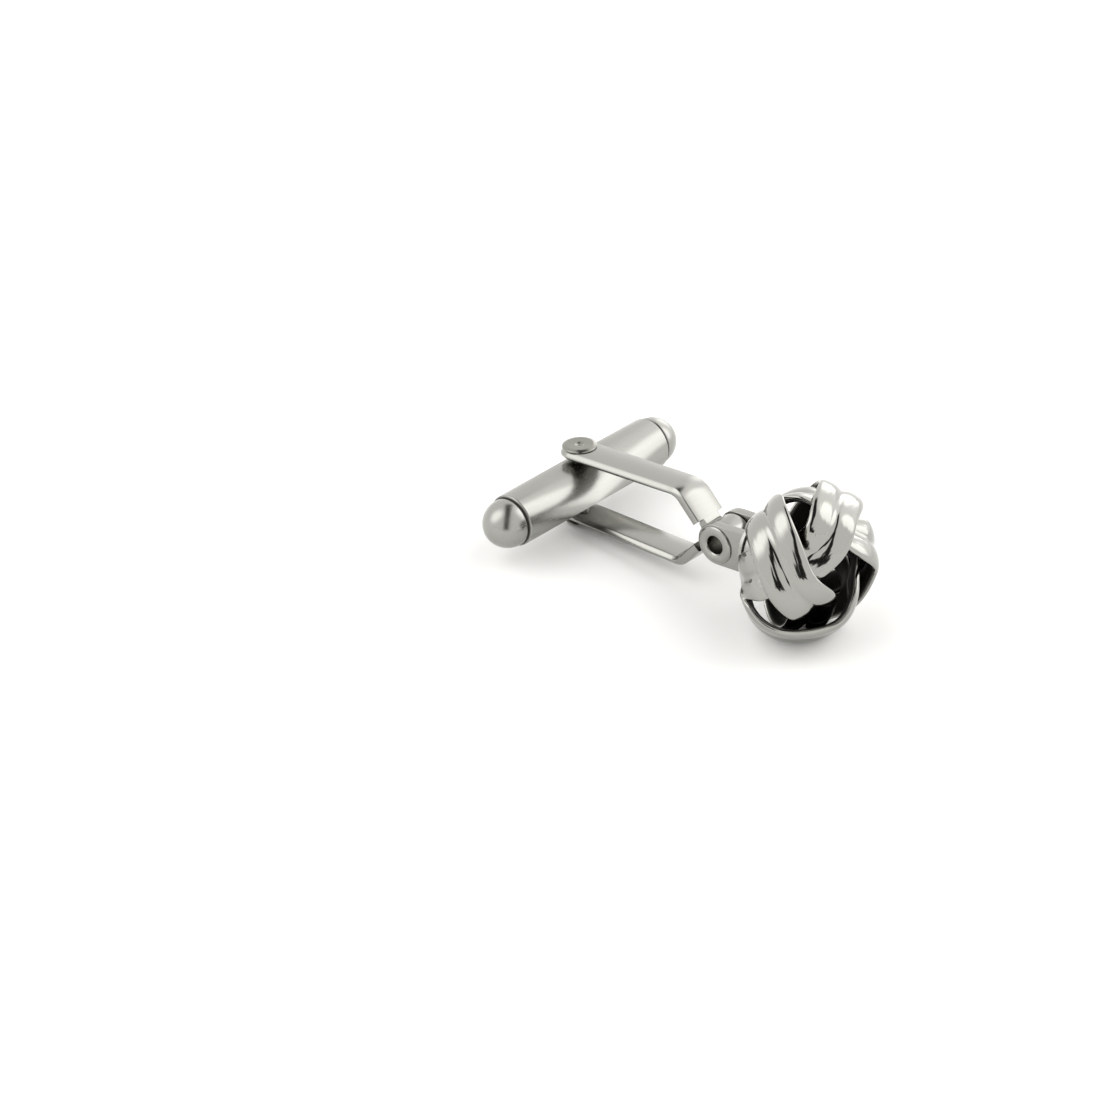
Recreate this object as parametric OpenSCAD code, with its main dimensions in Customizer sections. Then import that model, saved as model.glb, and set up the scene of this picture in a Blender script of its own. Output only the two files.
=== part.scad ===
// Knot cufflink: a hollow ball of two interlaced double bands on a hinged two-arm frame
// with a turning toggle bar. It lies on a surface: the knot and the lower rivet head touch it.
// X runs along the hinge, -Y is the knot's face and +Z is up.

/* [Knot] */
// Distance from the knot's centre to the middle of a band
knot_r = 5.3; // [5.2:0.05:5.6]
// Height of the knot along its face axis, as a part of its width
knot_flatten = 0.63; // [0.6:0.01:0.66]
// Angle that a band swings to either side of the ball's belt
band_swing = 45; // [43:0.5:47]
// Angle by which the swing is sharpened at its ends
swing_sharpen = 3.3; // [0:0.1:4]
// Angle by which the crossings lie in front of the belt
crossing_lean = 22.5; // [20:0.5:25]
// Angle between the upper and the lower band along their own way at a crossing
crossing_step = 10; // [8:0.5:12]
// Rise of the upper band and drop of the lower one at a crossing
crossing_rise = 0.66; // [0.65:0.01:0.7]
// Bulge of a band between two crossings
mid_bulge = 0.5; // [0.4:0.01:0.6]
// Shift of the bulge from the face to the back of the knot
bulge_back = 0.27; // [0.2:0.01:0.3]
// Angle that a band gains round the ball on its way to the face
band_advance = 2.6; // [0:0.1:3]
// Roll of a band about its own run
band_roll = 10; // [0:0.5:12]
// Part by which the rings of a band fan out inside its bends at the back
bend_fan = 0.75; // [0.74:0.01:0.8]
// Sink of the fanned rings towards the ball, for each square millimetre of fan
bend_sink = 0.13; // [0.09:0.01:0.15]
// Turn of the crossings round the face axis
knot_turn = 147; // [136:1:150]

/* [Band] */
// Distance between the middles of the two strands of a band
strand_pitch = 1.88; // [1.84:0.01:1.9]
// Width of one strand
strand_w = 1.86; // [1.82:0.01:1.88]
// Thickness of one strand at its crown
strand_t = 0.7; // [0.6:0.02:0.72]

/* [Hinge] */
// Distance from the hinge's axis to the knot's centre
neck_l = 7.5; // [7.45:0.05:7.8]
// Upward tilt of the knot's face axis
knot_tilt = 8.1; // [7.5:0.1:8.5]
// Width across the two ears
fork_w = 3.3; // [3.2:0.02:3.4]
// Width of the slot between the ears
slot_w = 1.8; // [1.7:0.02:1.9]
// Radius of an ear's round end
ear_r = 1.62; // [1.55:0.01:1.7]
// Radius of the round flange behind the knot
flange_r = 2.65; // [2.5:0.05:2.7]
// Radius of the flange's seat inside the bends of the bands
seat_r = 2.4; // [2.2:0.05:2.4]
// Outer radius of the hollow rivet
tube_r = 0.9; // [0.85:0.01:0.92]
// Radius of the hole through the hollow rivet
tube_hole_r = 0.7; // [0.6:0.01:0.72]
// Radius of the hollow rivet's rolled lip
lip_r = 1.5; // [1.45:0.01:1.55]
// Height of the rolled lip above the ear
lip_h = 0.2; // [0.15:0.01:0.25]

/* [Frame] */
// Distance from the hinge's axis to the toggle bar's axis
frame_l = 14.4; // [14.2:0.05:14.8]
// Width of an arm
arm_w = 2.9; // [2.8:0.02:3]
// Thickness of an arm
arm_t = 0.7; // [0.65:0.01:0.75]
// Clear height between the arms at the toggle bar
arm_gap = 4.54; // [4.5:0.01:4.6]
// Angle by which each arm spreads from the toggle bar to its bend
arm_flare = 1.5; // [1:0.1:2]
// Distance from the hinge's axis to the bend of an arm
bend_y = 3.6; // [3.5:0.05:3.7]
// Radius of the bend on the outer side of an arm
bend_r = 2; // [1:0.05:2.5]
// Distance from the hinge's axis to the outer foot of the slope
foot_y = 1.75; // [1.75:0.01:1.85]
// Half of the frame's outer height at the foot of the slope
foot_z = 1.25; // [1.2:0.01:1.3]
// Chamfer on the long outer edges of the arms
arm_chamfer = 0.26; // [0.1:0.02:0.3]

/* [Toggle] */
// Length of the toggle bar
bar_l = 20.5; // [19:0.1:20.6]
// Diameter of the toggle bar
bar_d = 4.04; // [4:0.02:4.1]
// Length of one domed end
dome_l = 2.05; // [1.9:0.05:2.6]
// Radius of a dome at its base
dome_r = 1.88; // [1.84:0.01:1.94]
// Radius at the bottom of the groove between the bar and a dome
groove_r = 1.79; // [1.74:0.01:1.82]
// Width of each side of that groove
groove_l = 0.16; // [0.1:0.01:0.2]
// Radius of the toggle rivet's shank
rivet_r = 0.62; // [0.6:0.01:0.65]
// Radius of the toggle rivet's head
head_r = 1.36; // [1.3:0.01:1.4]
// Radius of the flat on the toggle rivet's head
head_flat_r = 1.05; // [0.95:0.01:1.1]
// Height of the toggle rivet's head above the arm at its middle
head_h = 0.24; // [0.2:0.01:0.3]

/* [Hidden] */

// Small differences that keep the pieces free of each other
running_gap = 0.05;
seat_gap = 0.01;
cut_over = 1;

// Rings along a band, half of the points round one strand, and the angle where strands meet
band_rings = 96;
lobe_steps = 7;
lobe_meet = 157;

// How closely the fan of rings keeps to the middle of a bend, as a power of its sine
fan_focus = 6;

arm_out = arm_gap / 2 + arm_t;
head_z = arm_out + head_h;
head_base = arm_out + head_r * tan(arm_flare) + seat_gap;

// Outer side of an arm as [along, height] points: its end, its bend and the foot of its slope
arm_end = frame_l + arm_w;
outer_end = [arm_end, arm_out - arm_w * tan(arm_flare)];
outer_bend = [bend_y, arm_out + (frame_l - bend_y) * tan(arm_flare)];
outer_foot = [foot_y, foot_z];
slope_a = atan2(outer_bend[1] - foot_z, bend_y - foot_y);

// Inner side of an arm, one thickness further in
foot_wall_t = 0.2;
inner_end = outer_end - [0, arm_t];
inner_bend = outer_bend + corner_way(outer_end, outer_bend, outer_foot) * arm_t;
inner_foot_y = foot_y + foot_wall_t;
inner_foot = [inner_foot_y, inner_bend[1] - (inner_bend[0] - inner_foot_y) * tan(slope_a)];

// Line square to the slope at which an arm ends beside the knuckle, past both of its sides
slope_way = [cos(slope_a), sin(slope_a)];
slope_out = [-sin(slope_a), cos(slope_a)];
foot_cut_at = 0.05;
foot_cut_over = 0.1;
cut_outer = outer_foot + slope_way * foot_cut_at + slope_out * foot_cut_over;
cut_inner = outer_foot + slope_way * foot_cut_at - slope_out * (arm_t + foot_cut_over);

// Parts of the arc at a bend
bend_steps = 5;

// Bevel from the foot of the slope to the knuckle, and the knuckle itself
foot_bevel_y = 0.3;
foot_bevel_z = 0.35;
neck_half = foot_z - foot_bevel_z;
knuckle_r = ear_r - 0.1;
knuckle_w = slot_w - 0.16;

// Rounding of the toggle rivet's head at its rim, as a step in radius and a part of its height
head_edge_r = 0.06;
head_edge_h = 0.55;

// Flange behind the knot, its seat and the end of the slot between the ears
flange_y = 2.8;
flange_t = 0.4;
seat_l = 0.7;
slot_end_y = 2.3;

$fn = 64;

// Angle off the face axis of the middle of a band, at a stage of its way between crossings
function band_colat(s) =
    90 - band_swing * sin(s) + swing_sharpen * sin(3 * s)
    - crossing_lean * pow(cos(s), 2) + crossing_step * cos(s);

// Distance of the middle of a band from the knot's centre
function band_reach(s) =
    knot_r + crossing_rise * cos(s) - mid_bulge * cos(2 * s) - bulge_back * sin(s);

// Angle round the face axis, and the point itself; a band passes four crossings in one round
function band_turn(a) = a + band_advance * sin(2 * a);
function band_point(a) =
    let (q = band_colat(2 * a), r = band_reach(2 * a), f = band_turn(a))
    [r * sin(q) * cos(f), r * sin(q) * sin(f), r * cos(q) * knot_flatten];

function unit(v) = v / norm(v);

// The band's run, its outward side and its width, each as a direction
function band_run(a) = unit(band_point(a + 0.5) - band_point(a - 0.5));
function ball_out(p) = unit([p[0], p[1], p[2] / pow(knot_flatten, 2)]);
function flat_out(p, run) = unit(ball_out(p) - (ball_out(p) * run) * run);
function band_out(a, out, side) = cos(roll_at(a)) * out - sin(roll_at(a)) * side;
function band_side(a, out, side) = cos(roll_at(a)) * side + sin(roll_at(a)) * out;
function roll_at(a) = band_roll * sin(2 * a);

// Section of a band: two domed strands that meet in a groove, as [across, outward] pairs
function strand_lobe(at, from) =
    [for (i = [0 : lobe_steps])
        let (t = from + (2 * lobe_meet) * i / lobe_steps)
        [at + strand_w / 2 * cos(t), strand_t / 2 * sin(t)]];
band_section = concat(
    strand_lobe(strand_pitch / 2, -lobe_meet),
    strand_lobe(-strand_pitch / 2, 180 - lobe_meet)
);

// Slant of a ring along the run, so that the rings spread inside a bend at the back
function fan_at(a) = bend_fan * pow(max(0, -sin(2 * a)), fan_focus);
function ring_slant(a, p, run, side) =
    let (round_way = unit([-p[1], p[0], 0]))
    -fan_at(a) * (side * round_way) / (run * round_way);

function band_ring(a) =
    let (
        p = band_point(a),
        run = band_run(a),
        out0 = flat_out(p, run),
        side0 = cross(out0, run),
        out = band_out(a, out0, side0),
        side = band_side(a, out0, side0),
        slant = ring_slant(a, p, run, side)
    )
    [for (c = band_section)
        p + side * c[0] + run * c[0] * slant
        + out * (c[1] - bend_sink * pow(c[0] * slant, 2))];

// Lowest and foremost points of the two bands about the knot's centre, as the knot lies
function face_turn(p, turn) = p[0] * sin(turn) + p[1] * cos(turn);
function knot_up(p, turn) = face_turn(p, turn) * cos(knot_tilt) + p[2] * sin(knot_tilt);
function knot_front(p, turn) = p[2] * cos(knot_tilt) - face_turn(p, turn) * sin(knot_tilt);
band_points = [for (i = [0 : band_rings - 1]) each band_ring(360 * i / band_rings)];
knot_low = min([for (p = band_points) min(knot_up(p, knot_turn), knot_up(p, knot_turn - 90))]);
knot_fore = max([for (p = band_points)
    max(knot_front(p, knot_turn), knot_front(p, knot_turn - 90))]);

// Where the hinge's axis lies above the surface, and the frame's slope down to the rivet head
hinge_z = -neck_l * sin(knot_tilt) - knot_low;
head_reach = frame_l + head_flat_r;
frame_tilt = asin(hinge_z / norm([head_reach, head_z])) - atan2(head_z, head_reach);

// Where the hinge's axis lies along Y, so that the whole piece is centred
front_y = -neck_l * cos(knot_tilt) - knot_fore;
back_y = frame_l * cos(frame_tilt) + bar_d / 2;
hinge_y = -(front_y + back_y) / 2;

// Frames of reference: the hinge's axis, the knot beyond it and the toggle frame behind it
module at_hinge(tilt) {
    translate([0, hinge_y, hinge_z])
        rotate([-tilt, 0, 0])
            children();
}

module at_knot() {
    at_hinge(knot_tilt)
        translate([0, -neck_l, 0])
            rotate([90, 0, 0])
                children();
}

module along_x(length, radius) {
    rotate([0, 90, 0])
        cylinder(h = length, r = radius, center = true);
}

// Closed sweep of the band's section round the ball
module knot_band(turn) {
    count = len(band_section);
    faces = [for (i = [0 : band_rings - 1])
        for (j = [0 : count - 1])
            let (
                a = i * count + j,
                b = i * count + (j + 1) % count,
                c = ((i + 1) % band_rings) * count + (j + 1) % count,
                d = ((i + 1) % band_rings) * count + j
            )
            each [[a, b, c], [a, c, d]]];
    at_knot()
        rotate([0, 0, turn])
            polyhedron(points = band_points, faces = faces, convexity = 12);
}

module knot_band_one() {
    color("silver")
        knot_band(knot_turn);
}

module knot_band_two() {
    color("silver")
        knot_band(knot_turn - 90);
}

// Two rounded ears on a round flange, whose seat fits inside the bends at the knot's back
module hinge_fork() {
    color("gainsboro")
        at_hinge(knot_tilt)
            difference() {
                union() {
                    along_x(fork_w, ear_r);
                    translate([-fork_w / 2, -flange_y - flange_t / 2, -ear_r])
                        cube([fork_w, flange_y + flange_t / 2, 2 * ear_r]);
                    translate([0, -flange_y, 0])
                        rotate([90, 0, 0])
                            cylinder(h = flange_t, r = flange_r);
                    translate([0, -flange_y - flange_t / 2, 0])
                        rotate([90, 0, 0])
                            cylinder(h = seat_l + flange_t / 2, r = seat_r);
                }
                translate([-slot_w / 2, -slot_end_y, -ear_r - cut_over])
                    cube([slot_w, slot_end_y + ear_r + cut_over, 2 * ear_r + 2 * cut_over]);
                along_x(fork_w + 2 * cut_over, tube_r + seat_gap);
            }
}

// Hollow rivet whose two ends are rolled over the ears
module hinge_rivet() {
    lip_steps = 6;
    lip_mid_r = (lip_r + tube_hole_r) / 2;
    lip_half = (lip_r - tube_hole_r) / 2;
    lip_y = fork_w / 2 + seat_gap;
    lip_arc = [for (i = [0 : lip_steps])
        let (t = 180 * i / lip_steps)
        [lip_mid_r + lip_half * cos(t), lip_y + lip_h * sin(t)]];
    color("silver")
        at_hinge(knot_tilt)
            rotate([0, 90, 0])
                difference() {
                    union() {
                        cylinder(h = fork_w + lip_h, r = tube_r, center = true);
                        for (flip = [0, 1])
                            mirror([0, 0, flip])
                                rotate_extrude()
                                    polygon(lip_arc);
                    }
                    cylinder(h = fork_w + 4 * lip_h, r = tube_hole_r, center = true);
                }
}

// Way from corner b of the path a, b, c to the same corner of a path that lies 1 further in
function half_angle(a, b, c) = acos(unit(a - b) * unit(c - b)) / 2;
function corner_way(a, b, c) = unit(unit(a - b) + unit(c - b)) / sin(half_angle(a, b, c));

// Corner b of the path a, b, c as an arc of a radius
function round_corner(a, b, c, radius) =
    let (
        half = half_angle(a, b, c),
        turn = 180 - 2 * half,
        middle = b + corner_way(a, b, c) * radius,
        from = b + unit(a - b) * radius / tan(half) - middle,
        to = b + unit(c - b) * radius / tan(half) - middle
    )
    [for (i = [0 : bend_steps])
        let (t = turn * i / bend_steps)
        middle + (from * sin(turn - t) + to * sin(t)) / sin(turn)];

// The same run on the other arm, taken from its end
function other_arm(run) = [for (i = [len(run) - 1 : -1 : 0]) [run[i][0], -run[i][1]]];

// Two flat arms, rounded at the rivet and bent together onto one knuckle
module arm_outline() {
    outer_run = concat(
        [outer_end],
        round_corner(outer_end, outer_bend, outer_foot, bend_r),
        [outer_foot, [foot_y - foot_bevel_y, neck_half]]
    );
    inner_run = concat(
        [inner_foot],
        round_corner(inner_foot, inner_bend, inner_end, bend_r - arm_t),
        [inner_end]
    );
    polygon(concat(outer_run, other_arm(outer_run), other_arm(inner_run), inner_run));
}

// Square bars along the outer edges of both arms, whose removal leaves the chamfers
module arm_edges() {
    for (flip = [0, 1])
        mirror([0, 0, flip])
            for (side = [-1, 1])
                translate([side * arm_w / 2, frame_l, arm_out])
                    rotate([-arm_flare, 0, 0])
                        rotate([0, 45, 0])
                            cube([arm_chamfer * sqrt(2), 2 * frame_l, arm_chamfer * sqrt(2)],
                                center = true);
}

// Blocks on both sides of the knuckle, whose removal leaves the foot of each arm by itself
module beside_knuckle() {
    outer_side = [[0, cut_outer[1]], cut_outer, cut_inner];
    for (side = [-1, 1])
        translate([side * (knuckle_w + arm_w) / 2, 0, 0])
            rotate([90, 0, 90])
                linear_extrude(height = arm_w, center = true)
                    polygon(concat(outer_side, other_arm(outer_side)));
}

module swivel_frame() {
    color("gainsboro")
        at_hinge(frame_tilt)
            difference() {
                union() {
                    difference() {
                        intersection() {
                            rotate([90, 0, 90])
                                linear_extrude(height = arm_w, center = true)
                                    arm_outline();
                            union() {
                                translate([0, frame_l, 0])
                                    cylinder(h = 3 * arm_out, r = arm_w / 2, center = true);
                                translate([-arm_w / 2, 0, -1.5 * arm_out])
                                    cube([arm_w, frame_l, 3 * arm_out]);
                            }
                        }
                        beside_knuckle();
                    }
                    along_x(knuckle_w, knuckle_r);
                    translate([-knuckle_w / 2, 0, -neck_half])
                        cube([knuckle_w, foot_y, 2 * neck_half]);
                }
                arm_edges();
                along_x(arm_w + cut_over, tube_r + running_gap);
                translate([0, frame_l, 0])
                    cylinder(h = 3 * arm_out, r = rivet_r + seat_gap, center = true);
            }
}

// Round bar with grooved, domed ends, drilled across for its rivet
module toggle_bar() {
    dome_steps = 10;
    dome_x = bar_l / 2 - dome_l;
    straight_l = dome_x - 2 * groove_l;
    dome = [for (i = [0 : dome_steps])
        let (t = 90 * i / dome_steps)
        [dome_r * cos(t), dome_x + dome_l * sin(t)]];
    color("lightgray")
        at_hinge(frame_tilt)
            translate([0, frame_l, 0])
                difference() {
                    rotate([0, 90, 0])
                        union() {
                            cylinder(h = 2 * straight_l, r = bar_d / 2, center = true);
                            for (flip = [0, 1])
                                mirror([0, 0, flip])
                                    rotate_extrude()
                                        polygon(concat(
                                            [[0, 0], [bar_d / 2, 0], [bar_d / 2, straight_l]],
                                            [[groove_r, dome_x - groove_l]],
                                            dome
                                        ));
                        }
                    cylinder(h = bar_d + cut_over, r = rivet_r + running_gap, center = true);
                }
}

// Rivet through both arms and the bar, with a low flat-topped head on each side
module toggle_rivet() {
    color("silver")
        at_hinge(frame_tilt)
            translate([0, frame_l, 0])
                union() {
                    cylinder(h = 2 * head_base, r = rivet_r, center = true);
                    for (flip = [0, 1])
                        mirror([0, 0, flip])
                            rotate_extrude()
                                polygon([
                                    [0, head_base], [head_r, head_base],
                                    [head_r - head_edge_r, head_base + (head_z - head_base) * head_edge_h],
                                    [head_flat_r, head_z], [0, head_z]
                                ]);
                }
}

knot_band_one();
knot_band_two();
hinge_fork();
hinge_rivet();
swivel_frame();
toggle_bar();
toggle_rivet();
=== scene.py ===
"""Knot cufflink, dressed around its frame: woven double bands, hinge, two arms and toggle bar."""
import math

import bmesh
import bpy
from mathutils import Matrix, Vector


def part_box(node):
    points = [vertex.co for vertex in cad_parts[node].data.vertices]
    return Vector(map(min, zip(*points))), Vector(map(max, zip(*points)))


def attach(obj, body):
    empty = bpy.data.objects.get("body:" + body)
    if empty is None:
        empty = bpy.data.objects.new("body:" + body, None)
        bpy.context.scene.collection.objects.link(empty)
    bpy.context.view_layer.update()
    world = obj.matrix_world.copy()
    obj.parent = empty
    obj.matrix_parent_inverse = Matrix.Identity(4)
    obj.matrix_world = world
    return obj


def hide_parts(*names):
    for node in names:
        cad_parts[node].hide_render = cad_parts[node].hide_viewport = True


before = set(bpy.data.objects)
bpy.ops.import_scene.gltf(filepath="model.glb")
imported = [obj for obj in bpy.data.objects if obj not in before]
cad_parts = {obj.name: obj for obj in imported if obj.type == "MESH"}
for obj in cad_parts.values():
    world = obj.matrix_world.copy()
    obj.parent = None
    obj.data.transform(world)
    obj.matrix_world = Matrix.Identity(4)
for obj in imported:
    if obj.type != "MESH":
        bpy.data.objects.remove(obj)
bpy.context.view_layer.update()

MM = 0.001
HINGE_AT = sum(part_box("hinge_rivet"), Vector()) / 2
BAR_AT = sum(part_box("toggle_bar"), Vector()) / 2
FRAME_TILT = math.atan2(HINGE_AT.z - BAR_AT.z, BAR_AT.y - HINGE_AT.y)
FRAME_LENGTH = math.hypot(HINGE_AT.z - BAR_AT.z, BAR_AT.y - HINGE_AT.y)
KNOT_TILT = math.radians(8.1)
NECK_LENGTH = 7.5 * MM
ALONG_FRAME = Matrix.Rotation(-FRAME_TILT, 4, "X")
ALONG_KNOT = Matrix.Rotation(-KNOT_TILT, 4, "X")


# Camera, at the photograph's angle and framing

# From the hinge, along the axes of the two-arm frame: X, its length, and up from its arms
CAMERA_FROM_HINGE = Vector((-199.79, -165.16, 140.28)) * MM
LOOK = Vector((0.6478, 0.5935, -0.4777)).normalized()
RIGHT = Vector((0.6594, -0.7508, -0.0385)).normalized()
# Focal length in widths of the picture
FOCAL_OF_WIDTH = 4018 / 1100
SENSOR_MM = 36
NEAR_CLIP, FAR_CLIP = 0.005, 5


def set_camera():
    data = bpy.data.cameras.new("photo_camera")
    data.sensor_width = SENSOR_MM
    data.lens = SENSOR_MM * FOCAL_OF_WIDTH
    data.clip_start, data.clip_end = NEAR_CLIP, FAR_CLIP
    camera = bpy.data.objects.new("photo_camera", data)
    bpy.context.scene.collection.objects.link(camera)
    right = (RIGHT - LOOK * RIGHT.dot(LOOK)).normalized()
    turned = Matrix((right, right.cross(LOOK), -LOOK)).transposed()
    camera.matrix_world = (Matrix.Translation(HINGE_AT) @ ALONG_FRAME
                           @ Matrix.Translation(CAMERA_FROM_HINGE) @ turned.to_4x4())
    bpy.context.scene.camera = camera


# Numbers and directions worked out inside a node tree

class Field:
    """A number or a direction in a node tree, which takes part in sums like a plain number."""

    def __init__(self, tree, socket):
        self.tree, self.socket = tree, socket

    def maths(self, kind, *others):
        node = self.tree.nodes.new("ShaderNodeMath")
        node.operation = kind
        plug(self.tree, node.inputs, (self, *others))
        return Field(self.tree, node.outputs[0])

    def __add__(self, other):
        return self.maths("ADD", other)

    def __radd__(self, other):
        return self.maths("ADD", other)

    def __sub__(self, other):
        return self.maths("SUBTRACT", other)

    def __rsub__(self, other):
        return (self * -1).maths("ADD", other)

    def __mul__(self, other):
        return self.maths("MULTIPLY", other)

    def __truediv__(self, other):
        return self.maths("DIVIDE", other)

    def __neg__(self):
        return self * -1

    def __pow__(self, other):
        return self.maths("POWER", other)

    def sin(self):
        return self.maths("SINE")

    def cos(self):
        return self.maths("COSINE")

    def size(self):
        return self.maths("ABSOLUTE")

    def floor(self):
        return self.maths("FLOOR")

    def at_least(self, other):
        return self.maths("MAXIMUM", other)


def plug(tree, inputs, values):
    """Joins each value to its input, or sets it there where it is a plain number."""
    for socket, value in zip(inputs, values):
        if isinstance(value, Field):
            tree.links.new(value.socket, socket)
        else:
            socket.default_value = value


def triple(tree, x, y, z):
    node = tree.nodes.new("ShaderNodeCombineXYZ")
    plug(tree, node.inputs, (x, y, z))
    return Field(tree, node.outputs[0])


def vector_sum(kind, *values):
    """A vector node on its inputs; its answer is a number for a dot product, else a vector."""
    tree = next(v.tree for v in values if isinstance(v, Field))
    node = tree.nodes.new("ShaderNodeVectorMath")
    node.operation = kind
    if kind == "SCALE":
        plug(tree, (node.inputs[0], node.inputs["Scale"]), values)
    else:
        plug(tree, node.inputs, values)
    return Field(tree, node.outputs["Value" if kind == "DOT_PRODUCT" else "Vector"])


def plus(*vectors):
    total = vectors[0]
    for v in vectors[1:]:
        total = vector_sum("ADD", total, v)
    return total


def times(vector, number):
    return vector_sum("SCALE", vector, number)


def unit(vector):
    return vector_sum("NORMALIZE", vector)


def dot(one, other):
    return vector_sum("DOT_PRODUCT", one, other)


def split(tree, vector):
    node = tree.nodes.new("ShaderNodeSeparateXYZ")
    plug(tree, node.inputs, (vector,))
    return node.outputs


def node_tree(name, sizes):
    """An empty geometry tree with one named input for each size."""
    tree = bpy.data.node_groups.new(name, "GeometryNodeTree")
    for label, (kind, value) in sizes.items():
        socket = tree.interface.new_socket(label, in_out="INPUT", socket_type="NodeSocket" + kind)
        socket.default_value = value
    tree.interface.new_socket("Geometry", in_out="OUTPUT", socket_type="NodeSocketGeometry")
    given = tree.nodes.new("NodeGroupInput")
    inputs = {label: Field(tree, given.outputs[label]) for label in sizes}
    return tree, inputs


def tree_end(tree, geometry, material):
    """Realized geometry with its material, as the tree's answer."""
    realize = tree.nodes.new("GeometryNodeRealizeInstances")
    paint = tree.nodes.new("GeometryNodeSetMaterial")
    paint.inputs["Material"].default_value = material
    end = tree.nodes.new("NodeGroupOutput")
    tree.links.new(geometry, realize.inputs[0])
    tree.links.new(realize.outputs[0], paint.inputs["Geometry"])
    tree.links.new(paint.outputs["Geometry"], end.inputs["Geometry"])


def grown(name, tree):
    """The plain mesh object that a tree makes."""
    seed = bpy.data.objects.new(name + "_seed", bpy.data.meshes.new(name + "_seed"))
    bpy.context.scene.collection.objects.link(seed)
    modifier = seed.modifiers.new("grow", "NODES")
    modifier.node_group = tree
    held = seed.evaluated_get(bpy.context.evaluated_depsgraph_get())
    mesh = bpy.data.meshes.new_from_object(held)
    mesh.name = name
    bpy.data.objects.remove(seed)
    piece = bpy.data.objects.new(name, mesh)
    bpy.context.scene.collection.objects.link(piece)
    return piece


# Metal

# Sizes of the turned pieces in millimetres
BAR_HALF, BAR_R, DOME_L, DOME_R, GROOVE_R, GROOVE_W = 10.25, 2.02, 2.05, 1.88, 1.79, 0.16
RIVET_R, HEAD_R, HEAD_FLAT_R, HEAD_FROM, HEAD_TO = 0.62, 1.36, 1.05, 3.016, 3.21
TUBE_R, TUBE_HOLE_R, LIP_R, LIP_H, EAR_OUT = 0.9, 0.7, 1.5, 0.2, 1.66
DEGREE = math.pi / 180

# Streaks and clouds of a polished surface to the metre, and the part of the tone that is left
# where a cloud is darkest
STREAKS_ALONG, STREAKS_ACROSS, CLOUDS, CLOUD_TONE = 900, 9000, 420, 0.95
# Least and greatest part of a metal's roughness over the streaks, and the roughness that the
# painted shade on the knot's inside and in the bar's grooves adds to it
LEAST_ROUGH, MOST_ROUGH, INSIDE_SHADE_ROUGH, GROOVE_SHADE_ROUGH = 0.75, 1.35, 0.6, 0.3
# Strength and depth of the ripple, of the scratches and of the waves along a strand
RIPPLE, SCRATCH, WAVES = (0.05, 0.00002), (0.03, 0.00001), (0.8, 0.00008)
# Waves across a strand to the millimetre, and round the ball
WAVES_ACROSS, WAVES_ROUND = 1.6, 2.2
# Painted shade in the bar's grooves: its colour, and how far off a groove's bottom it is full and
# gone
GROOVE_SHADE, GROOVE_SHADE_FULL, GROOVE_SHADE_NONE = (0.035, 0.034, 0.028, 1), 0.05, 0.16
# Painted shade, near black, on the inside of the knot: its colour, and the outward places on a
# strand where it is full and gone, between -1 at the inner crown and 1 at the outer one
INSIDE_SHADE, INSIDE_SHADE_FULL, INSIDE_SHADE_NONE = (0.022, 0.021, 0.019, 1), -0.75, -0.25


def noise(tree, where, scale, detail):
    node = tree.nodes.new("ShaderNodeTexNoise")
    node.inputs["Scale"].default_value = scale
    node.inputs["Detail"].default_value = detail
    tree.links.new(where, node.inputs["Vector"])
    return node.outputs["Fac"]


def bump(tree, height, strength_and_depth, under=None):
    node = tree.nodes.new("ShaderNodeBump")
    strength, depth = strength_and_depth
    node.inputs["Strength"].default_value = strength
    node.inputs["Distance"].default_value = depth
    tree.links.new(height, node.inputs["Height"])
    if under:
        tree.links.new(under, node.inputs["Normal"])
    return node.outputs["Normal"]


def soft_step(tree, value, zero_at, one_at, easing="SMOOTHSTEP"):
    """0 at one value and 1 at another, with a soft way between them."""
    node = tree.nodes.new("ShaderNodeMapRange")
    node.interpolation_type = easing
    plug(tree, (node.inputs["Value"], node.inputs["From Min"], node.inputs["From Max"]),
         (value, zero_at, one_at))
    return Field(tree, node.outputs["Result"])


def recessed(tree, dark, bright, share, rough):
    """Colour and added roughness of a recess with painted shade, where the share of the bright
    metal is 0 to 1.
    """
    mix = tree.nodes.new("ShaderNodeMix")
    mix.data_type = "RGBA"
    mix.inputs["A"].default_value = dark
    tree.links.new(share.socket, mix.inputs["Factor"])
    tree.links.new(bright, mix.inputs["B"])
    return mix.outputs["Result"], (1 - share) * rough


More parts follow.
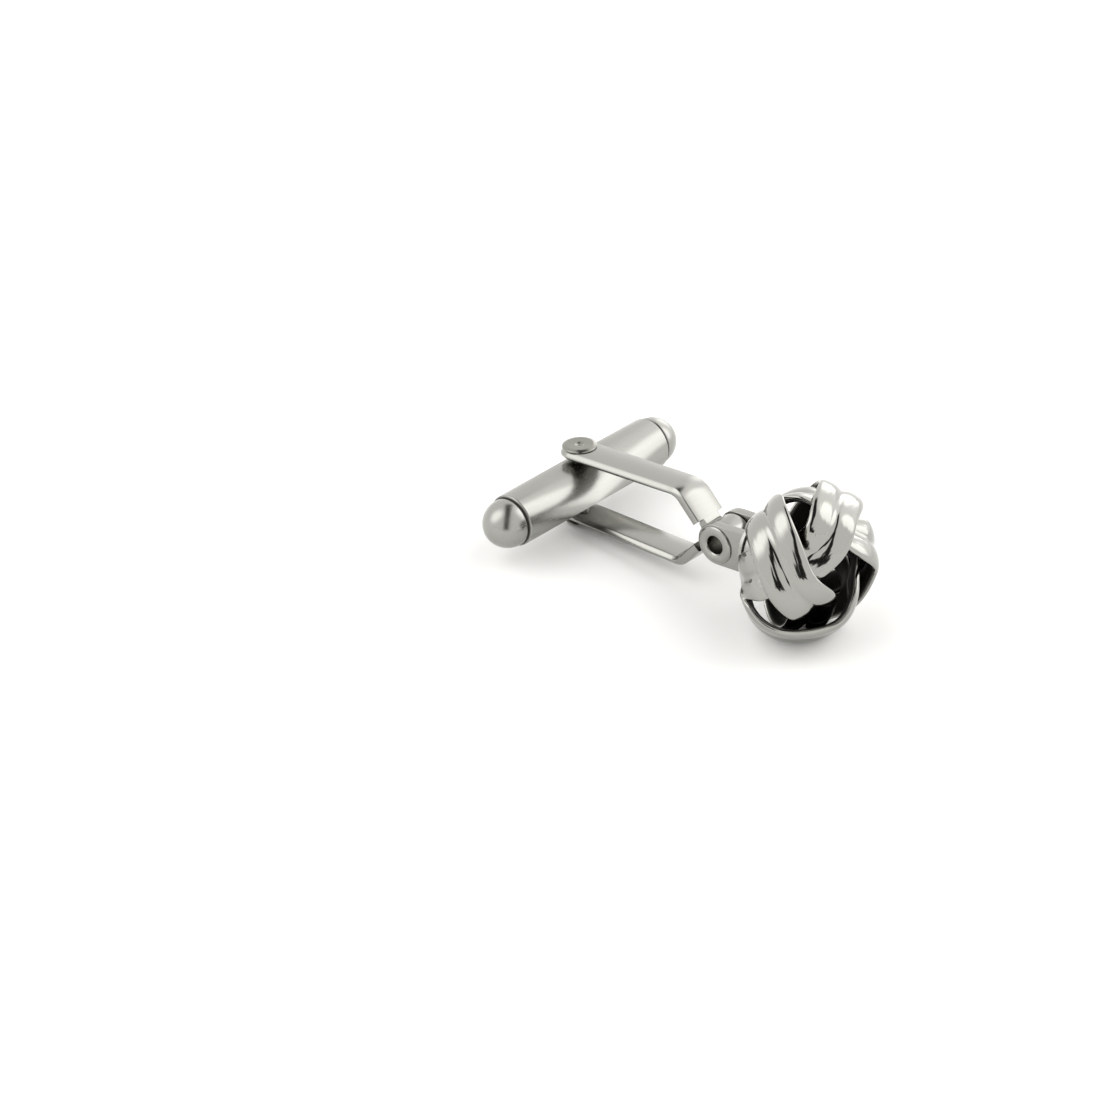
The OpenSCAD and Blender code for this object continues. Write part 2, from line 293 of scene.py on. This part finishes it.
def polished_metal(name, tone, roughness, streak_turn=0.0, recess=None, drawn=False):
    """Plated metal: mirror polish with faint drawn streaks and a slight ripple."""
    material = bpy.data.materials.new(name)
    material.use_nodes = True
    tree = material.node_tree
    shader = tree.nodes["Principled BSDF"]
    shader.inputs["Metallic"].default_value = 1.0
    where = tree.nodes.new("ShaderNodeTexCoord").outputs["Object"]
    turn = tree.nodes.new("ShaderNodeMapping")
    turn.inputs["Rotation"].default_value = (0, 0, streak_turn)
    turn.inputs["Scale"].default_value = (STREAKS_ALONG, STREAKS_ACROSS, STREAKS_ACROSS)
    tree.links.new(where, turn.inputs["Vector"])
    streaks = noise(tree, turn.outputs["Vector"], scale=1.0, detail=3)
    clouds = noise(tree, where, scale=CLOUDS, detail=4)

    colour = tree.nodes.new("ShaderNodeMix")
    colour.data_type = "RGBA"
    colour.inputs["A"].default_value = (*[c * CLOUD_TONE for c in tone], 1)
    colour.inputs["B"].default_value = (*tone, 1)
    tree.links.new(clouds, colour.inputs["Factor"])
    finish = colour.outputs["Result"]

    rough = tree.nodes.new("ShaderNodeMapRange")
    rough.inputs["To Min"].default_value = roughness * LEAST_ROUGH
    rough.inputs["To Max"].default_value = roughness * MOST_ROUGH
    tree.links.new(streaks, rough.inputs["Value"])
    dullness = Field(tree, rough.outputs["Result"])
    if recess:
        finish, added = recess(tree, finish)
        dullness = dullness + added
    tree.links.new(finish, shader.inputs["Base Color"])
    tree.links.new(dullness.socket, shader.inputs["Roughness"])

    surface = bump(tree, streaks, SCRATCH, under=bump(tree, clouds, RIPPLE))
    if drawn:
        surface = drawn_strand(tree, surface)
    tree.links.new(surface, shader.inputs["Normal"])
    return material


def attribute(tree, label):
    node = tree.nodes.new("ShaderNodeAttribute")
    node.attribute_name = label
    return Field(tree, node.outputs["Fac"])


def drawn_strand(tree, under):
    """Shallow waves that run along a strand, from the band's own attributes."""
    where = triple(tree, attribute(tree, "across") * WAVES_ACROSS,
                   attribute(tree, "round_x") * WAVES_ROUND,
                   attribute(tree, "round_y") * WAVES_ROUND)
    return bump(tree, noise(tree, where.socket, scale=1.0, detail=2), WAVES, under)


def painted_groove_shade(tree, bright):
    """Painted shade in the groove before each domed end of the bar, found along the bar's own
    axis.
    """
    where = Field(tree, tree.nodes.new("ShaderNodeTexCoord").outputs["Object"])
    along = Field(tree, split(tree, where)[0])
    off = ((along / MM).size() - (BAR_HALF - DOME_L - GROOVE_W)).size()
    share = soft_step(tree, off, GROOVE_SHADE_FULL, GROOVE_SHADE_NONE)
    return recessed(tree, GROOVE_SHADE, bright, share, GROOVE_SHADE_ROUGH)


def painted_inside_shade(tree, bright):
    """Paints shade on the side of a band that faces into the knot, by the band's own attribute."""
    share = soft_step(tree, attribute(tree, "outward"), INSIDE_SHADE_FULL, INSIDE_SHADE_NONE)
    return recessed(tree, INSIDE_SHADE, bright, share, INSIDE_SHADE_ROUGH)


SILVER = (0.350, 0.348, 0.327)
STEEL = (0.335, 0.333, 0.313)
# A darker copy of the steel, for the riveted heads of the toggle
DARKER_STEEL = (0.25, 0.248, 0.225)
# The side of each strand that faces into the knot is given painted shade, near black
knot_metal = polished_metal("knot_polish", SILVER, 0.10, recess=painted_inside_shade, drawn=True)
fork_metal = polished_metal("fork_polish", STEEL, 0.22)
frame_metal = polished_metal("frame_polish", STEEL, 0.20, streak_turn=math.pi / 2)
# The bar's grooves are given painted shade, near black
bar_metal = polished_metal("bar_polish", STEEL, 0.24, recess=painted_groove_shade)
rivet_metal = polished_metal("rivet_polish", STEEL, 0.17)
head_metal = polished_metal("head_polish", DARKER_STEEL, 0.20)


# Knot: two woven bands of two strands each

BAND_SIZES = {
    "Rings": ("Int", 384),
    "Points": ("Int", 52),
    "Knot radius": ("Float", 5.3),
    "Flatten": ("Float", 0.63),
    "Swing": ("Float", 45.0),
    "Sharpen": ("Float", 3.3),
    "Lean": ("Float", 22.5),
    "Step": ("Float", 10.0),
    "Rise": ("Float", 0.66),
    "Bulge": ("Float", 0.5),
    "Back": ("Float", 0.27),
    "Advance": ("Float", 2.6),
    "Roll": ("Float", 10.0),
    "Fan": ("Float", 0.75),
    "Fan focus": ("Float", 6.0),
    "Sink": ("Float", 0.13),
    "Strand pitch": ("Float", 1.88),
    "Strand width": ("Float", 1.86),
    "Strand thickness": ("Float", 0.70),
    "Meet": ("Float", 157.0),
}
# Distance in metres below which the first and the last ring of a band's net are one
BAND_WELD = 0.000002
# What is added to keep a corner in its own ring, and the factor that keeps a section's last point
# on its own strand
RING_SLACK, STRAND_SLACK = 0.0001, 0.99999


def band_middle(size, a):
    """Point of the band's middle line at an angle round the face axis, in millimetres."""
    s = a * 2
    colat = (90 - size["Swing"] * s.sin() + size["Sharpen"] * (s * 3).sin()
             - size["Lean"] * s.cos() * s.cos() + size["Step"] * s.cos()) * DEGREE
    reach = (size["Knot radius"] + size["Rise"] * s.cos() - size["Bulge"] * (s * 2).cos()
             - size["Back"] * s.sin())
    turn = a + size["Advance"] * s.sin() * DEGREE
    out, up = reach * colat.sin(), reach * colat.cos() * size["Flatten"]
    return triple(a.tree, out * turn.cos(), out * turn.sin(), up)


def band_section(size, along_section):
    """Across and outward place of a point of two domed strands that meet in a groove."""
    lobe = (along_section * 2).floor()
    part = along_section * 2 - lobe
    angle = (part * 2 - 1) * size["Meet"] * DEGREE + lobe * math.pi
    middle = (1 - lobe * 2) * size["Strand pitch"] / 2
    return middle + angle.cos() * size["Strand width"] / 2, angle.sin()


def band_tree():
    tree, size = node_tree("knot_band_weave", BAND_SIZES)
    net = tree.nodes.new("GeometryNodeMeshGrid")
    plug(tree, (net.inputs["Vertices X"], net.inputs["Vertices Y"]),
         (size["Rings"] + 1, size["Points"]))
    index = Field(tree, tree.nodes.new("GeometryNodeInputIndex").outputs[0])
    ring = (index / size["Points"] + RING_SLACK).floor()
    point = index - ring * size["Points"]
    a = ring / size["Rings"] * (2 * math.pi)

    here = band_middle(size, a)
    ahead, behind = band_middle(size, a + DEGREE / 2), band_middle(size, a - DEGREE / 2)
    run = unit(plus(ahead, times(behind, -1)))
    x, y, z = (Field(tree, s) for s in split(tree, here))
    ball = unit(triple(tree, x, y, z / size["Flatten"] / size["Flatten"]))
    flat = unit(plus(ball, times(run, -dot(ball, run))))
    wide = vector_sum("CROSS_PRODUCT", flat, run)
    roll = size["Roll"] * DEGREE * (a * 2).sin()
    out = plus(times(flat, roll.cos()), times(wide, -roll.sin()))
    side = plus(times(wide, roll.cos()), times(flat, roll.sin()))

    round_way = unit(triple(tree, -y, x, 0.0))
    fan = size["Fan"] * (-(a * 2).sin()).at_least(0.0) ** size["Fan focus"]
    slant = -fan * dot(side, round_way) / dot(run, round_way)
    # The section stays open by a thin slit in its inner groove, between its last and first point
    across, outward = band_section(size, point / (size["Points"] - 1) * STRAND_SLACK)
    lift = outward * size["Strand thickness"] / 2 - size["Sink"] * (across * slant) ** 2
    place = plus(here, times(side, across), times(run, across * slant), times(out, lift))

    shape = tree.nodes.new("GeometryNodeSetPosition")
    tree.links.new(net.outputs["Mesh"], shape.inputs["Geometry"])
    tree.links.new(times(place, MM).socket, shape.inputs["Position"])
    stored = shape.outputs["Geometry"]
    for label, value in (("outward", outward), ("across", across),
                         ("round_x", a.cos()), ("round_y", a.sin())):
        store = tree.nodes.new("GeometryNodeStoreNamedAttribute")
        store.inputs["Name"].default_value = label
        plug(tree, (store.inputs["Value"],), (value,))
        tree.links.new(stored, store.inputs["Geometry"])
        stored = store.outputs["Geometry"]
    weld = tree.nodes.new("GeometryNodeMergeByDistance")
    weld.inputs["Distance"].default_value = BAND_WELD
    tree.links.new(stored, weld.inputs["Geometry"])
    smooth = tree.nodes.new("GeometryNodeSetShadeSmooth")
    tree.links.new(weld.outputs["Geometry"], smooth.inputs["Geometry"])
    tree_end(tree, smooth.outputs["Geometry"], knot_metal)
    return tree


KNOT_TURN = math.radians(147)
KNOT_PLACE = (Matrix.Translation(HINGE_AT) @ ALONG_KNOT @ Matrix.Translation((0, -NECK_LENGTH, 0))
              @ Matrix.Rotation(math.pi / 2, 4, "X"))


def outward_faces(mesh):
    work = bmesh.new()
    work.from_mesh(mesh)
    bmesh.ops.recalc_face_normals(work, faces=work.faces)
    if work.calc_volume(signed=True) < 0:
        bmesh.ops.reverse_faces(work, faces=work.faces)
    work.to_mesh(mesh)
    work.free()


def make_knot():
    tree = band_tree()
    for name, node, turn in (("woven_band_one", "knot_band_one", KNOT_TURN),
                             ("woven_band_two", "knot_band_two", KNOT_TURN - math.pi / 2)):
        band = grown(name, tree)
        band.data.transform(KNOT_PLACE @ Matrix.Rotation(turn, 4, "Z"))
        outward_faces(band.data)
        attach(band, "knot")
        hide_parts(node)


# Fork: taken from its solid and given softened edges

# Distance in metres below which two corners of the solid are one
SOLID_WELD = 0.000003
# Angles in degrees below which two faces are one, an edge isn't rounded, and it shades softly
FLAT_ANGLE, EDGE_ANGLE, SOFT_ANGLE = 0.5, 24, 35


def softened(name, node, body, material, round_mm):
    """A copy of a solid with its edges rounded over, in place of the solid."""
    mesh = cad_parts[node].data.copy()
    mesh.name = name
    work = bmesh.new()
    work.from_mesh(mesh)
    bmesh.ops.remove_doubles(work, verts=work.verts, dist=SOLID_WELD)
    bmesh.ops.dissolve_limit(work, angle_limit=math.radians(FLAT_ANGLE), verts=work.verts,
                             edges=work.edges)
    work.to_mesh(mesh)
    work.free()
    piece = bpy.data.objects.new(name, mesh)
    bpy.context.scene.collection.objects.link(piece)
    bevel = piece.modifiers.new("soft_edges", "BEVEL")
    bevel.width = round_mm * MM
    bevel.segments = 4
    bevel.limit_method = "ANGLE"
    bevel.angle_limit = math.radians(EDGE_ANGLE)
    final = bpy.data.meshes.new_from_object(
        piece.evaluated_get(bpy.context.evaluated_depsgraph_get()))
    piece.modifiers.clear()
    piece.data = final
    final.materials.clear()
    final.materials.append(material)
    final.set_sharp_from_angle(angle=math.radians(SOFT_ANGLE))
    for face in final.polygons:
        face.use_smooth = True
    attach(piece, body)
    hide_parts(node)


# Turned pieces

# Parts round the bar and round every other turned piece, and along a dome and a rolled lip
BAR_STEPS, TURNED_STEPS, DOME_PARTS, LIP_PARTS = 128, 96, 20, 16
# Rounding of the bar's shoulders and of the rivet heads, in millimetres
SHOULDER_ROUND, HEAD_ROUND = 0.12, 0.07
# Rim of a rivet head: its share of the head's height, and how far inside the head's edge it lies
RIM_SHARE, RIM_IN = 0.55, 0.06
# Dimple in the middle of a rivet head as [depth, radius] pairs
DIMPLE = ((0.02, 0.42), (0.03, 0.33), (0.10, 0.2), (0.14, 0))
# Length of the straight run before or behind an outline's first or last rounded corner
RUN_ON = 0.3
# Part of a corner's shorter side that its rounding may take, and the half angle of a corner
# that is too flat to round
CORNER_SHARE, FLAT_CORNER = 0.48, math.radians(88)


def turned(name, outline, steps, material):
    """A solid of revolution about its own X axis, from [along, radius] pairs in millimetres."""
    work = bmesh.new()
    rings = []
    for along, radius in outline:
        count = steps if radius > 1e-6 else 1
        rings.append([work.verts.new(Vector((along, radius * math.cos(2 * math.pi * i / steps),
                                             radius * math.sin(2 * math.pi * i / steps))) * MM)
                      for i in range(count)])
    closed = len(rings[0]) > 1
    pairs = list(zip(rings, rings[1:] + rings[:1] if closed else rings[1:]))
    for one, two in pairs:
        for i in range(steps):
            j = (i + 1) % steps
            corners = list(dict.fromkeys((one[i % len(one)], one[j % len(one)],
                                          two[j % len(two)], two[i % len(two)])))
            if len(corners) > 2:
                work.faces.new(corners)
    bmesh.ops.recalc_face_normals(work, faces=work.faces)
    mesh = bpy.data.meshes.new(name)
    work.to_mesh(mesh)
    work.free()
    for face in mesh.polygons:
        face.use_smooth = True
    mesh.materials.append(material)
    piece = bpy.data.objects.new(name, mesh)
    bpy.context.scene.collection.objects.link(piece)
    return piece


def eased(points, radius, steps=4):
    """A path of [along, radius] pairs whose inner corners are rounded to a radius."""
    path = [points[0]]
    for a, b, c in zip(points, points[1:], points[2:]):
        a, b, c = Vector(a), Vector(b), Vector(c)
        u, v = (a - b).normalized(), (c - b).normalized()
        half = u.angle(v) / 2
        back = radius / math.tan(half)
        limit = min((a - b).length, (c - b).length) * CORNER_SHARE
        size = radius * min(1, limit / back) if back > 1e-9 else 0
        if size < 1e-6 or half > FLAT_CORNER:
            path.append(tuple(b))
            continue
        middle = b + (u + v).normalized() * size / math.sin(half)
        start, end = b + u * size / math.tan(half) - middle, b + v * size / math.tan(half) - middle
        turn = math.pi - 2 * half
        for i in range(steps + 1):
            t = turn * i / steps
            out = (start * math.sin(turn - t) + end * math.sin(t)) / math.sin(turn)
            path.append(tuple(middle + out))
    path.append(points[-1])
    return path


def both_ends(half):
    """A path from the middle to one end, mirrored so that it runs from end to end."""
    return [(-x, r) for x, r in reversed(half)] + list(half)


def put_in_place(piece, moved_by, body, node):
    piece.data.transform(moved_by)
    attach(piece, body)
    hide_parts(node)


def make_bar():
    dome_x = BAR_HALF - DOME_L
    straight = dome_x - 2 * GROOVE_W
    shoulder = eased([(0, BAR_R), (straight, BAR_R), (dome_x - GROOVE_W, GROOVE_R),
                      (dome_x, DOME_R), (dome_x + RUN_ON, DOME_R)], SHOULDER_ROUND)[:-1]
    dome = [(dome_x + DOME_L * math.sin(t), DOME_R * math.cos(t))
            for t in (math.pi / 2 * i / DOME_PARTS for i in range(1, DOME_PARTS + 1))]
    dome[-1] = (BAR_HALF, 0)
    bar = turned("swivel_bar", both_ends(shoulder + dome), BAR_STEPS, bar_metal)
    put_in_place(bar, Matrix.Translation(BAR_AT) @ ALONG_FRAME, "toggle", "toggle_bar")


def make_toggle_rivet():
    rim = HEAD_FROM + (HEAD_TO - HEAD_FROM) * RIM_SHARE
    dimple = [(HEAD_TO - depth, radius) for depth, radius in DIMPLE]
    head = eased([(HEAD_FROM - RUN_ON, RIVET_R), (HEAD_FROM, RIVET_R), (HEAD_FROM, HEAD_R),
                  (rim, HEAD_R - RIM_IN), (HEAD_TO, HEAD_FLAT_R), dimple[0]], HEAD_ROUND)
    rivet = turned("riveted_heads", both_ends(head + dimple[1:]), TURNED_STEPS, head_metal)
    upright = Matrix.Translation(BAR_AT) @ ALONG_FRAME @ Matrix.Rotation(-math.pi / 2, 4, "Y")
    put_in_place(rivet, upright, "frame", "toggle_rivet")


def make_hollow_rivet():
    middle, half = (LIP_R + TUBE_HOLE_R) / 2, (LIP_R - TUBE_HOLE_R) / 2
    lip = [(EAR_OUT + LIP_H * math.sin(t), middle + half * math.cos(t))
           for t in (math.pi * i / LIP_PARTS for i in range(LIP_PARTS + 1))]
    rivet = turned("hollow_rivet", both_ends([(EAR_OUT, TUBE_R)] + lip), TURNED_STEPS, rivet_metal)
    put_in_place(rivet, Matrix.Translation(HINGE_AT) @ ALONG_KNOT, "knot", "hinge_rivet")


# Frame: two arms pressed round at their edges, bent together onto one knuckle

# Sizes in millimetres, along the frame from the hinge and up from its middle
ARM_HALF_W, ARM_T, ARM_OUT, ARM_FLARE = 1.45, 0.7, 2.97, math.radians(1.5)
BEND_Y, BEND_R, FOOT_Y, FOOT_Z, INNER_FOOT_Y = 3.6, 2.0, 1.75, 1.25, 1.95
BEVEL_Y, NECK_HALF, KNUCKLE_R, KNUCKLE_HALF, BORE_R = 1.45, 0.9, 1.52, 0.82, 0.95
# How far the rounding of an edge goes in across the arm and down its side, above and below
FLAT_ROUNDS = (0.34, 0.36, 0.28, 0.30)
SLOPE_ROUNDS = (0.10, 0.10, 0.10, 0.10)
# Shape of that rounding, between a round edge, which is 1, and a plain chamfer, which is 2
EDGE_POWER = 1.6
# Parts of the slope, the bend, the flat, the round end and the rounding of an edge
SLOPE_PARTS, BEND_PARTS, FLAT_PARTS, END_PARTS, EDGE_PARTS = 5, 12, 16, 24, 6
# Knuckle's block: where it starts inside the drum, its reach up the slope, how far inside the
# arm's faces it stays at the foot and at its far corner, and how much narrower it is in the drum
BLOCK_FROM, BLOCK_REACH, BLOCK_SHY, CORNER_SHY, BLOCK_IN = 1.1, 0.25, 0.02, 0.06, 0.01
# Easing of the block's edges and of the drum's
BLOCK_EASE, DRUM_EASE = 0.05, 0.1
# Distance in metres below which two corners of the frame are one
FRAME_WELD = 0.0000005


def arm_corners():
    """Foot, bend and rivet end of an arm's outer side."""
    length = FRAME_LENGTH / MM
    bend = Vector((BEND_Y, ARM_OUT + (length - BEND_Y) * math.tan(ARM_FLARE)))
    return Vector((FOOT_Y, FOOT_Z)), bend, Vector((length, ARM_OUT))


def outward_of(way):
    return Vector((-way.y, way.x))


def arm_run():
    """Stations along an arm's outer side, from foot to rivet: place, outward way, roundness."""
    foot, bend, end = arm_corners()
    slope, flat = (bend - foot).normalized(), (end - bend).normalized()
    turn = slope.angle(flat)
    back = BEND_R * math.tan(turn / 2)
    start, leave = bend - slope * back, bend + flat * back
    middle = start - outward_of(slope) * BEND_R
    first = math.atan2(slope.x, -slope.y)
    stations = []
    for part in range(SLOPE_PARTS):
        stations.append((foot.lerp(start, part / SLOPE_PARTS), outward_of(slope), 0.0))
    for part in range(BEND_PARTS + 1):
        angle = first - turn * part / BEND_PARTS
        out = Vector((math.cos(angle), math.sin(angle)))
        stations.append((middle + out * BEND_R, out, part / BEND_PARTS))
    for part in range(1, FLAT_PARTS + 1):
        stations.append((leave.lerp(end, part / FLAT_PARTS), outward_of(flat), 1.0))
    return stations, flat


def arm_edge(rounds):
    """Edge of an arm's section as [inset, depth] pairs from the outer side to the inner side."""
    top_in, top_down, under_in, under_up = rounds
    angles = [math.pi / 2 * i / EDGE_PARTS for i in range(EDGE_PARTS + 1)]
    curve = [(abs(math.sin(t)) ** EDGE_POWER, abs(math.cos(t)) ** EDGE_POWER) for t in angles]
    top = [(top_in * (1 - up), top_down * (1 - over)) for up, over in curve]
    under = [(under_in * (1 - over), ARM_T - under_up * (1 - up)) for up, over in curve]
    return [(ARM_HALF_W, 0)] + top + under + [(ARM_HALF_W, ARM_T)]


def arm_mesh(work, flip):
    """One arm as loops that run up one edge, round the rivet and back along the other edge."""
    stations, flat = arm_run()
    end, out = stations[-1][0], outward_of(flat)
    loops = []
    for k, (end_inset, end_depth) in enumerate(arm_edge(FLAT_ROUNDS)):
        sides = {}
        for side in (-1, 1):
            sides[side] = []
            for at, normal, roundness in stations:
                inset, depth = arm_edge([small + (full - small) * roundness
                                         for small, full in zip(SLOPE_ROUNDS, FLAT_ROUNDS)])[k]
                here = at - normal * depth
                sides[side].append((side * (ARM_HALF_W - inset), here.x, here.y))
        round_end = []
        for i in range(1, END_PARTS):
            angle = math.pi * i / END_PARTS
            reach = ARM_HALF_W - end_inset
            here = end + flat * reach * math.sin(angle) - out * end_depth
            round_end.append((-reach * math.cos(angle), here.x, here.y))
        loop = sides[-1] + round_end + sides[1][::-1]
        loops.append([work.verts.new((x * MM, y * MM, z * MM * flip)) for x, y, z in loop])
    for one, two in zip(loops, loops[1:]):
        for i in range(len(one) - 1):
            work.faces.new((one[i], one[i + 1], two[i + 1], two[i]))
    work.faces.new([loop[0] for loop in loops] + [loop[-1] for loop in reversed(loops)])


def slab(work, outline, half, ease):
    """A flat block from [along, up] pairs, as thick as twice its half, with eased edges."""
    sides = [[work.verts.new((x * MM, y * MM, z * MM)) for y, z in outline] for x in (-half, half)]
    faces = [work.faces.new(sides[0]), work.faces.new(sides[1][::-1])]
    for i in range(len(outline)):
        j = (i + 1) % len(outline)
        faces.append(work.faces.new((sides[0][i], sides[1][i], sides[1][j], sides[0][j])))
    edges = list({e for f in faces for e in f.edges})
    bmesh.ops.bevel(work, geom=edges, offset=ease * MM, segments=3, affect="EDGES", profile=0.5)


def make_frame():
    work = bmesh.new()
    for flip in (1, -1):
        arm_mesh(work, flip)
    foot, bend, _ = arm_corners()
    slope = math.atan2(bend.y - foot.y, bend.x - foot.x)
    climb = BLOCK_REACH * math.tan(slope)
    inner_z = FOOT_Z - ARM_T / math.cos(slope) + (INNER_FOOT_Y - FOOT_Y) * math.tan(slope)
    toe = [(INNER_FOOT_Y, inner_z), (INNER_FOOT_Y + BLOCK_REACH, inner_z + climb),
           (FOOT_Y + BLOCK_REACH, FOOT_Z - BLOCK_SHY + climb - CORNER_SHY),
           (FOOT_Y + BLOCK_SHY, FOOT_Z - BLOCK_SHY), (BEVEL_Y, NECK_HALF)]
    slab(work, toe + [(y, -z) for y, z in reversed(toe)], KNUCKLE_HALF, BLOCK_EASE)
    slab(work, [(BLOCK_FROM, NECK_HALF), (FOOT_Y, NECK_HALF), (FOOT_Y, -NECK_HALF),
                (BLOCK_FROM, -NECK_HALF)], KNUCKLE_HALF - BLOCK_IN, BLOCK_EASE)
    bmesh.ops.remove_doubles(work, verts=work.verts, dist=FRAME_WELD)
    bmesh.ops.recalc_face_normals(work, faces=work.faces)
    ring = [(-KNUCKLE_HALF, BORE_R), (-KNUCKLE_HALF, KNUCKLE_R), (KNUCKLE_HALF, KNUCKLE_R),
            (KNUCKLE_HALF, BORE_R)]
    knuckle = turned("knuckle", eased(ring, DRUM_EASE), TURNED_STEPS, frame_metal)
    work.from_mesh(knuckle.data)
    bpy.data.objects.remove(knuckle)
    mesh = bpy.data.meshes.new("two_arm_frame")
    work.to_mesh(mesh)
    work.free()
    for face in mesh.polygons:
        face.use_smooth = True
    mesh.set_sharp_from_angle(angle=math.radians(SOFT_ANGLE))
    mesh.materials.append(frame_metal)
    piece = bpy.data.objects.new("two_arm_frame", mesh)
    bpy.context.scene.collection.objects.link(piece)
    at_hinge = Matrix.Translation(HINGE_AT) @ ALONG_FRAME
    put_in_place(piece, at_hinge, "frame", "swivel_frame")


set_camera()
make_knot()
softened("fork_with_ears", "hinge_fork", "knot", fork_metal, round_mm=0.16)
make_hollow_rivet()
make_frame()
make_toggle_rivet()
make_bar()


# Floor and light

FLOOR_HALF, FLOOR_TONE, LIGHT_TONE = 0.6, (0.95, 0.95, 0.945, 1), (1, 0.995, 0.98, 1)


def make_floor():
    mesh = bpy.data.meshes.new("floor")
    half = FLOOR_HALF
    mesh.from_pydata([(-half, -half, 0), (half, -half, 0), (half, half, 0), (-half, half, 0)],
                     [], [(0, 1, 2, 3)])
    floor = bpy.data.objects.new("floor", mesh)
    bpy.context.scene.collection.objects.link(floor)
    material = bpy.data.materials.new("pale_floor")
    material.use_nodes = True
    shader = material.node_tree.nodes["Principled BSDF"]
    shader.inputs["Base Color"].default_value = FLOOR_TONE
    shader.inputs["Roughness"].default_value = 0.9
    shader.inputs["Specular IOR Level"].default_value = 0.1
    mesh.materials.append(material)


# Soft lights of the studio: direction from +X towards +Y and upwards, half of their breadth and
# of their height, all in degrees, how far their soft edge reaches as a part of that, and how
# much brighter than the room they are
ROOM_BRIGHT = 1.3
SOFT_LIGHTS = (
    (-36, 33, 17, 24, 0.45, 1.35),
    (20, 6, 11, 17, 0.9, 1.5),
    (-6, 30, 20, 32, 1.0, 0.45),
    (140, 42, 17, 22, 0.9, 1.35),
)
# A narrow dark gap between the lights, from below the camera up and over the object: where it
# lies, its half width and soft edge, the angles round the sky at which it starts and ends, and
# how long its soft ends are, all in degrees
GAP_TURN, GAP_HALF, GAP_EDGE, GAP_FROM, GAP_TO, GAP_END = -140, 8, 6, 2, 118, 14
# Part of the light that is missing in the gap
GAP_DARK = 0.98


def direction(turn, height):
    turn, height = math.radians(turn), math.radians(height)
    return (math.cos(turn) * math.cos(height), math.sin(turn) * math.cos(height), math.sin(height))


def softest_step(tree, value, zero_at, one_at):
    return soft_step(tree, value, zero_at, one_at, easing="SMOOTHERSTEP")


def studio_light(tree):
    """Brightness of the studio by direction: an even room with soft lights and a dark gap."""
    way = unit(Field(tree, tree.nodes.new("ShaderNodeTexCoord").outputs["Generated"]))
    bright = ROOM_BRIGHT
    for turn, height, broad, tall, edge, more in SOFT_LIGHTS:
        middle, aside = direction(turn, height), direction(turn + 90, 0)
        above = tuple(Vector(middle).cross(Vector(aside)))
        right = dot(way, aside) / math.sin(math.radians(broad))
        up = dot(way, above) / math.sin(math.radians(tall))
        away = (right * right + up * up) ** 0.5
        facing = dot(way, middle).maths("GREATER_THAN", 0.0)
        bright = bright + softest_step(tree, away, 1 + edge, 1 - edge / 2) * facing * more
    across = (dot(way, direction(GAP_TURN + 90, 0)).maths("ARCSINE") / DEGREE).size()
    upward = dot(way, (0.0, 0.0, 1.0))
    round_sky = upward.maths("ARCTAN2", dot(way, direction(GAP_TURN, 0))) / DEGREE
    gap = (softest_step(tree, across, GAP_HALF + GAP_EDGE, GAP_HALF)
           * softest_step(tree, round_sky, GAP_FROM - GAP_END, GAP_FROM)
           * softest_step(tree, round_sky, GAP_TO + GAP_END, GAP_TO))
    return bright * (1 - gap * GAP_DARK)


def make_light():
    world = bpy.data.worlds.new("studio")
    world.use_nodes = True
    back = world.node_tree.nodes["Background"]
    back.inputs["Color"].default_value = LIGHT_TONE
    plug(world.node_tree, (back.inputs["Strength"],), (studio_light(world.node_tree),))
    bpy.context.scene.world = world
    bpy.context.scene.view_settings.view_transform = "Standard"


make_floor()
make_light()
